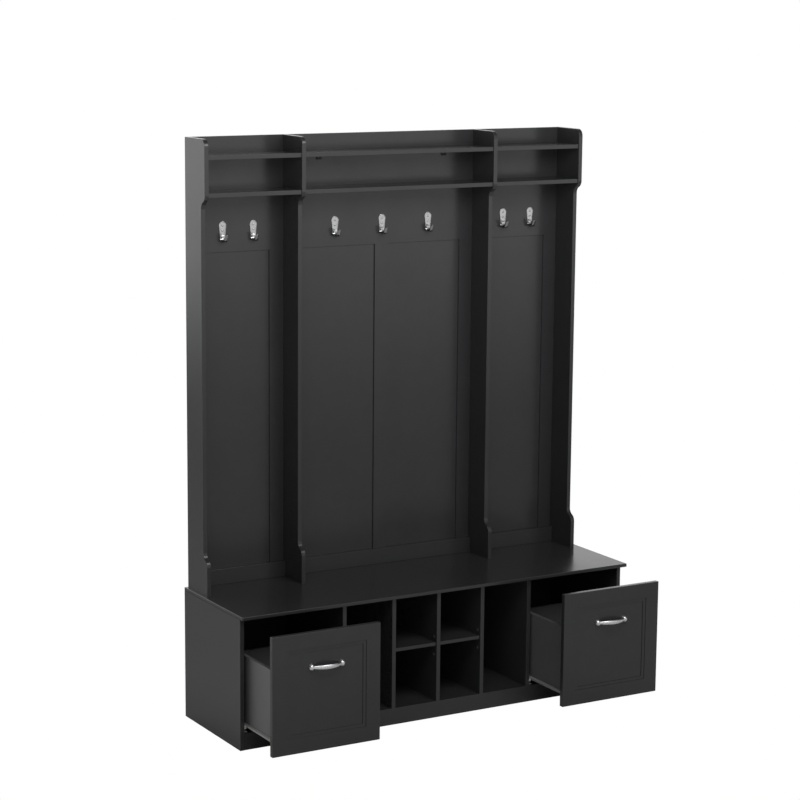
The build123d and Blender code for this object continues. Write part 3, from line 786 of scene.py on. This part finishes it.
def pull(side):
    """An arched bar between two domed feet, on the plane where the pull's box ends."""
    node = f"drawer_{side}_pull"
    low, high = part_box(node)
    middle_x, plane, z = (low.x + high.x) / 2, high.y, (low.z + high.z) / 2
    half = PULL_SPAN / 2
    rise = PULL_ARCH - PULL_START
    radius = (half ** 2 + rise ** 2) / (2 * rise)
    center = Vector((middle_x, plane - PULL_ARCH + radius, z))
    sweep = 2 * math.asin(half / radius)
    steps = 28

    drop_selection()
    bpy.ops.mesh.primitive_circle_add(
        vertices=24, radius=1, rotation=(0, math.pi / 2, -sweep / 2),
        location=center + Vector((-math.sin(sweep / 2), -math.cos(sweep / 2), 0)) * radius)
    bpy.context.object.scale = (PULL_BAR_HEIGHT / 2, PULL_BAR_DEPTH / 2, 1)
    bar = open_primitive(f"pull_{side}")
    bpy.ops.mesh.select_mode(type="EDGE")
    bpy.ops.mesh.select_all(action="SELECT")
    bpy.ops.mesh.edge_face_add()
    bpy.ops.mesh.spin(steps=steps, angle=-sweep, center=center, axis=(0, 0, 1), use_normal_flip=False)
    outward()
    if max(v.co.x for v in bmesh.from_edit_mesh(bar.data).verts) < middle_x:
        raise RuntimeError("the pull's bar turned the wrong way")
    for k in range(1, steps):
        angle = -sweep / 2 + sweep * k / steps
        out = Vector((math.sin(angle), -math.cos(angle), 0))
        ring = center + out * radius
        tangent = Vector((math.cos(angle), math.sin(angle), 0))
        pick("VERT", lambda v: abs((v.co - ring).dot(tangent)) < 1e-4)
        swell = 1 + PULL_SWELL * math.sin(math.pi * k / steps)
        stretch((1, 1, swell), ring)
    bpy.ops.object.mode_set(mode="OBJECT")

    feet = []
    dome, foot = PULL_FOOT_DOME, PULL_FOOT_RADIUS
    profile = [(0, foot * 0.93), (-0.0012, foot)] + [
        (-0.0025 - (dome - 0.0025) * math.sin(math.radians(a)), foot * math.cos(math.radians(a)))
        for a in (0, 14, 28, 42, 55, 67, 78, 86)]
    for x in (middle_x - half, middle_x + half):
        feet.append(turned("foot", (x, plane, z), "Y", profile, 32))
    for piece in feet:
        take(bar)
        union = bar.modifiers.new("Weld", "BOOLEAN")
        union.operation, union.solver, union.object = "UNION", "EXACT", piece
        finish_modifiers(bar)
        bpy.data.objects.remove(piece)
    return settle(bar, f"drawer_{side}", chrome_material(), (node,), 50)


def pull_screws(side):
    """The two machine screws that hold a pull, with their heads inside the drawer."""
    node = f"drawer_{side}_pull_screws"
    low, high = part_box(node)
    reach = (high.x - low.x) / 2 - PULL_SCREW_INSET
    middle_x, z = (low.x + high.x) / 2, (low.z + high.z) / 2
    under_head = high.y - PULL_SCREW_HEAD - 0.0001
    first = pan_screw(f"pull_screw_{side}_1", (middle_x - reach, under_head, z), "Y", -1,
                      PULL_SCREW_RADIUS, PULL_SCREW_HEAD, under_head - low.y)
    for screw in (first, twin(first, f"pull_screw_{side}_2", (2 * reach, 0, 0))):
        settle(screw, f"drawer_{side}", steel_material(), (node,))


# ---------------------------------------------------------------- runner wheels
WHEEL_WIDTH, WHEEL_BORE, WHEEL_HUB, WHEEL_DRAFT = 0.0078, 0.00305, 0.0045, 0.0004
BOX_MARGIN = 0.00002


def wheel(name, low, high, axis_y, axis_z):
    """One nylon wheel with a hub, a web and a rounded tread, inside a box."""
    radius, width = (high.z - low.z) / 2 - BOX_MARGIN, high.x - low.x
    near_half = [(0.0, WHEEL_BORE), (0.0, WHEEL_HUB), (0.18, WHEEL_HUB + WHEEL_DRAFT), (0.18, radius * 0.8),
                 (0.05, radius * 0.84), (0.05, radius * 0.93), (0.16, radius * 0.99), (0.3, radius)]
    far_half = [(1 - share, wide) for share, wide in reversed(near_half)]
    profile = [(width * share, wide) for share, wide in near_half + far_half]
    return turned(name, (low.x, axis_y, axis_z), "X", profile, 40, ring=True)


def wheel_pair(side, node, body):
    """The two wheels of one CAD node, one at each end of its box."""
    low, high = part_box(node)
    middle_y, middle_z = (low.y + high.y) / 2, (low.z + high.z) / 2
    near = Vector((low.x + WHEEL_WIDTH, high.y, high.z))
    first = wheel(f"{body}_outer", low, near, middle_y, middle_z)
    second = twin(first, f"{body}_inner", mirror_about=(low.x + high.x) / 2)
    for piece in (first, second):
        settle(piece, body, nylon_material(), (node,), 30)


# ---------------------------------------------------------------- operators
class HALLTREE_OT_paint_boards(bpy.types.Operator):
    """Paint the boards that keep their CAD shape"""
    bl_idname = "halltree.paint_boards"
    bl_label = "Paint Boards"

    def execute(self, context):
        dress(board_material("upright"), "base_side_left", "base_side_right", "divider_left", "divider_right",
              "hutch_side_left", "hutch_side_right", *(f"partition_{n}" for n in range(1, 6)))
        dress(board_material("level"), "bench_top", "bottom_panel", "plinth", "rear_rail",
              "cubby_shelf_left", "cubby_shelf_right", *(f"lower_rail_{b}" for b in BAYS),
              *(f"{level}_shelf_{b}" for level in ("lower", "upper") for b in BAYS))
        dress(hardboard_material(), "base_back")
        return {"FINISHED"}


class HALLTREE_OT_finish_drawer_boxes(bpy.types.Operator):
    """Cover the drawer boxes with their plain film"""
    bl_idname = "halltree.finish_drawer_boxes"
    bl_label = "Finish Drawer Boxes"

    def execute(self, context):
        dress(box_material(), *(f"drawer_{side}_{part}" for side in SIDES
                                for part in ("wall_outer", "wall_inner", "back", "bottom")))
        return {"FINISHED"}


class HALLTREE_OT_build_drawer_fronts(bpy.types.Operator):
    """Model the framed drawer fronts"""
    bl_idname = "halltree.build_drawer_fronts"
    bl_label = "Build Drawer Fronts"

    def execute(self, context):
        for side in SIDES:
            drawer_front(side)
        return {"FINISHED"}


class HALLTREE_OT_build_back_panels(bpy.types.Operator):
    """Model the hutch's back panels with their sunk fields"""
    bl_idname = "halltree.build_back_panels"
    bl_label = "Build Back Panels"

    def execute(self, context):
        for bay in BAYS:
            back_panel(bay)
        return {"FINISHED"}


class HALLTREE_OT_build_coat_hooks(bpy.types.Operator):
    """Bend the coat hooks from strip and put in their screws"""
    bl_idname = "halltree.build_coat_hooks"
    bl_label = "Build Coat Hooks"

    def execute(self, context):
        (bay, first_x), *others = hook_places()
        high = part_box("coat_hooks_left")[1]
        hooks = [(bay, hook_strip("coat_hook_1", first_x, high.y, high.z))]
        for number, (bay, x) in enumerate(others, start=2):
            hooks.append((bay, twin(hooks[0][1], f"coat_hook_{number}", (x - first_x, 0, 0))))
        for bay, hook in hooks:
            settle(hook, "frame", nickel_material(), (f"coat_hooks_{bay}",))
        wood_screws()
        return {"FINISHED"}


class HALLTREE_OT_build_pulls(bpy.types.Operator):
    """Model the arched drawer pulls"""
    bl_idname = "halltree.build_pulls"
    bl_label = "Build Pulls"

    def execute(self, context):
        for side in SIDES:
            pull(side)
        return {"FINISHED"}


class HALLTREE_OT_build_pull_screws(bpy.types.Operator):
    """Put in the pulls' machine screws"""
    bl_idname = "halltree.build_pull_screws"
    bl_label = "Build Pull Screws"

    def execute(self, context):
        for side in SIDES:
            pull_screws(side)
        return {"FINISHED"}


class HALLTREE_OT_build_wheels(bpy.types.Operator):
    """Turn the runners' nylon wheels"""
    bl_idname = "halltree.build_wheels"
    bl_label = "Build Wheels"

    def execute(self, context):
        for side in SIDES:
            wheel_pair(side, f"bay_{side}_front_rollers", f"{side}_front_wheels")
            wheel_pair(side, f"drawer_{side}_rear_rollers", f"{side}_rear_wheels")
        return {"FINISHED"}


class HALLTREE_OT_finish_hardware(bpy.types.Operator):
    """Finish the fasteners, runners and wall brackets that keep their CAD shape"""
    bl_idname = "halltree.finish_hardware"
    bl_label = "Finish Hardware"

    def execute(self, context):
        dress(steel_material(), "cam_fasteners", "upright_screws", "pin_sleeves", "shelf_pins")
        dress(enamel_material(), "cabinet_runners", "drawer_left_runners", "drawer_right_runners")
        dress(bracket_material(), "wall_brackets")
        return {"FINISHED"}


class HALLTREE_OT_set_stage(bpy.types.Operator):
    """Set the floor, the studio light and the camera"""
    bl_idname = "halltree.set_stage"
    bl_label = "Set Stage"

    def execute(self, context):
        stage = context.scene.hall_tree_stage
        self.make_floor(stage)
        self.make_room(context.scene, stage)
        self.make_panels(stage)
        self.make_camera(context.scene, stage)
        context.scene.view_settings.view_transform = "Standard"
        return {"FINISHED"}

    def make_floor(self, stage):
        """A pale floor, which the camera sees as an evenly lit white sweep."""
        drop_selection()
        bpy.ops.mesh.primitive_plane_add(size=120, location=(0, 0, CAD_BOX[0].z))
        floor = bpy.context.object
        floor.name = "floor"
        bpy.ops.object.transform_apply(location=True, rotation=True, scale=True)
        material, tree, shader = new_material("Pale Studio Floor")
        shader.inputs["Base Color"].default_value = (0.75, 0.75, 0.75, 1)
        shader.inputs["Roughness"].default_value = 0.9
        shader.inputs["Specular IOR Level"].default_value = 0.1
        shader.inputs["Emission Color"].default_value = (1, 1, 1, 1)
        place = new_node(tree, "ShaderNodeTexCoord")
        distance = new_node(tree, "ShaderNodeVectorMath", operation="LENGTH")
        tree.links.new(place.outputs["Object"], distance.inputs[0])
        far = new_node(tree, "ShaderNodeMapRange", interpolation_type="SMOOTHSTEP")
        far.inputs["From Min"].default_value, far.inputs["From Max"].default_value = 7.0, 15.0
        far.inputs["To Max"].default_value = stage.sweep_glow
        tree.links.new(distance.outputs["Value"], far.inputs["Value"])
        tree.links.new(far.outputs["Result"], shader.inputs["Emission Strength"])
        seen, sweep = new_node(tree, "ShaderNodeLightPath"), new_node(tree, "ShaderNodeEmission")
        mix = new_node(tree, "ShaderNodeMixShader")
        tree.links.new(seen.outputs["Is Camera Ray"], mix.inputs[0])
        tree.links.new(shader.outputs[0], mix.inputs[1])
        tree.links.new(sweep.outputs[0], mix.inputs[2])
        tree.links.new(mix.outputs[0], tree.nodes["Material Output"].inputs["Surface"])
        floor.data.materials.append(material)

    def make_room(self, scene, stage):
        """Even light that is strongest from the front and the back, and white to the camera."""
        world = bpy.data.worlds.new("Studio Room")
        scene.world = world
        world.use_nodes = True
        tree = world.node_tree
        background = tree.nodes["Background"]
        background.inputs["Color"].default_value = (1, 1, 1, 1)
        place = new_node(tree, "ShaderNodeTexCoord")
        split = new_node(tree, "ShaderNodeSeparateXYZ")
        tree.links.new(place.outputs["Generated"], split.inputs[0])
        depth = split.outputs["Y"]
        ahead = math_node(tree, "MAXIMUM", math_node(tree, "MULTIPLY", depth, -1), 0)
        front = math_node(tree, "POWER", ahead, 2)
        back = math_node(tree, "POWER", math_node(tree, "MAXIMUM", depth, 0), 2)
        glow = math_node(tree, "ADD", math_node(tree, "MULTIPLY", front, stage.room_glow),
                         math_node(tree, "MULTIPLY", back, stage.backdrop_glow))
        seen = new_node(tree, "ShaderNodeLightPath")
        either = new_node(tree, "ShaderNodeMix")
        tree.links.new(seen.outputs["Is Camera Ray"], either.inputs[0])
        tree.links.new(glow, either.inputs[2])
        either.inputs[3].default_value = 1
        tree.links.new(either.outputs[0], background.inputs["Strength"])

    def make_panels(self, stage):
        """Large soft light panels that face the object."""
        places = {
            "key_panel": ((-1.6, -2.2, 2.7), 1.2, 1.2, stage.key_glow),
            "side_panel": ((-3.2, 0.9, 0.45), 1.8, 1.0, stage.side_glow),
            "top_panel": ((0.3, -2.3, 3.0), 1.6, 1.2, stage.top_glow),
        }
        for name, (place, width, height, glow) in places.items():
            drop_selection()
            aim = Vector((0, 0, min(place[2], 1.2))) - Vector(place)
            bpy.ops.object.light_add(type="AREA", location=place,
                                     rotation=aim.to_track_quat("-Z", "Y").to_euler())
            panel = bpy.context.object
            panel.name, panel.data.shape = name, "RECTANGLE"
            panel.data.size, panel.data.size_y = width, height
            panel.data.energy = math.pi * width * height * glow
            panel.visible_camera = False

    def make_camera(self, scene, stage):
        data = bpy.data.cameras.new("camera")
        data.lens, data.sensor_width = stage.lens, 36
        data.clip_start, data.clip_end = 0.05, 200
        camera = bpy.data.objects.new("camera", data)
        scene.collection.objects.link(camera)
        turn = Matrix.Rotation(-stage.look_turn, 4, "Z")
        tilt = Matrix.Rotation(math.pi / 2 - stage.look_down, 4, "X")
        roll = Matrix.Rotation(stage.roll, 4, "Z")
        camera.matrix_world = Matrix.Translation(stage.camera_place) @ turn @ tilt @ roll
        scene.camera = camera


STEPS = (
    HALLTREE_OT_paint_boards, HALLTREE_OT_finish_drawer_boxes, HALLTREE_OT_build_drawer_fronts,
    HALLTREE_OT_build_back_panels, HALLTREE_OT_build_coat_hooks, HALLTREE_OT_build_pulls,
    HALLTREE_OT_build_pull_screws, HALLTREE_OT_build_wheels, HALLTREE_OT_finish_hardware,
    HALLTREE_OT_set_stage,
)


class VIEW3D_PT_hall_tree(bpy.types.Panel):
    """The hall tree's sizes, colours and building steps"""
    bl_idname = "VIEW3D_PT_hall_tree"
    bl_label = "Hall Tree"
    bl_space_type = "VIEW_3D"
    bl_region_type = "UI"
    bl_category = "Hall Tree"

    def draw(self, context):
        for label in GROUPS:
            settings = getattr(context.scene, label)
            box = self.layout.box()
            for name in settings.bl_rna.properties.keys():
                if name not in ("rna_type", "name"):
                    box.prop(settings, name)
        for step in STEPS:
            self.layout.operator(step.bl_idname)


GROUPS = {
    "hall_tree_paint": HallTreePaint,
    "hall_tree_joinery": HallTreeJoinery,
    "hall_tree_hardware": HallTreeHardware,
    "hall_tree_stage": HallTreeStage,
}
CLASSES = (*GROUPS.values(), *STEPS, VIEW3D_PT_hall_tree)


def register():
    for cls in CLASSES:
        bpy.utils.register_class(cls)
    for label, group in GROUPS.items():
        setattr(bpy.types.Scene, label, PointerProperty(type=group))


def unregister():
    for label in GROUPS:
        delattr(bpy.types.Scene, label)
    for cls in reversed(CLASSES):
        bpy.utils.unregister_class(cls)


def main():
    register()
    for step in STEPS:
        category, operator = step.bl_idname.split(".")
        getattr(getattr(bpy.ops, category), operator)()


if __name__ == "__main__":
    main()
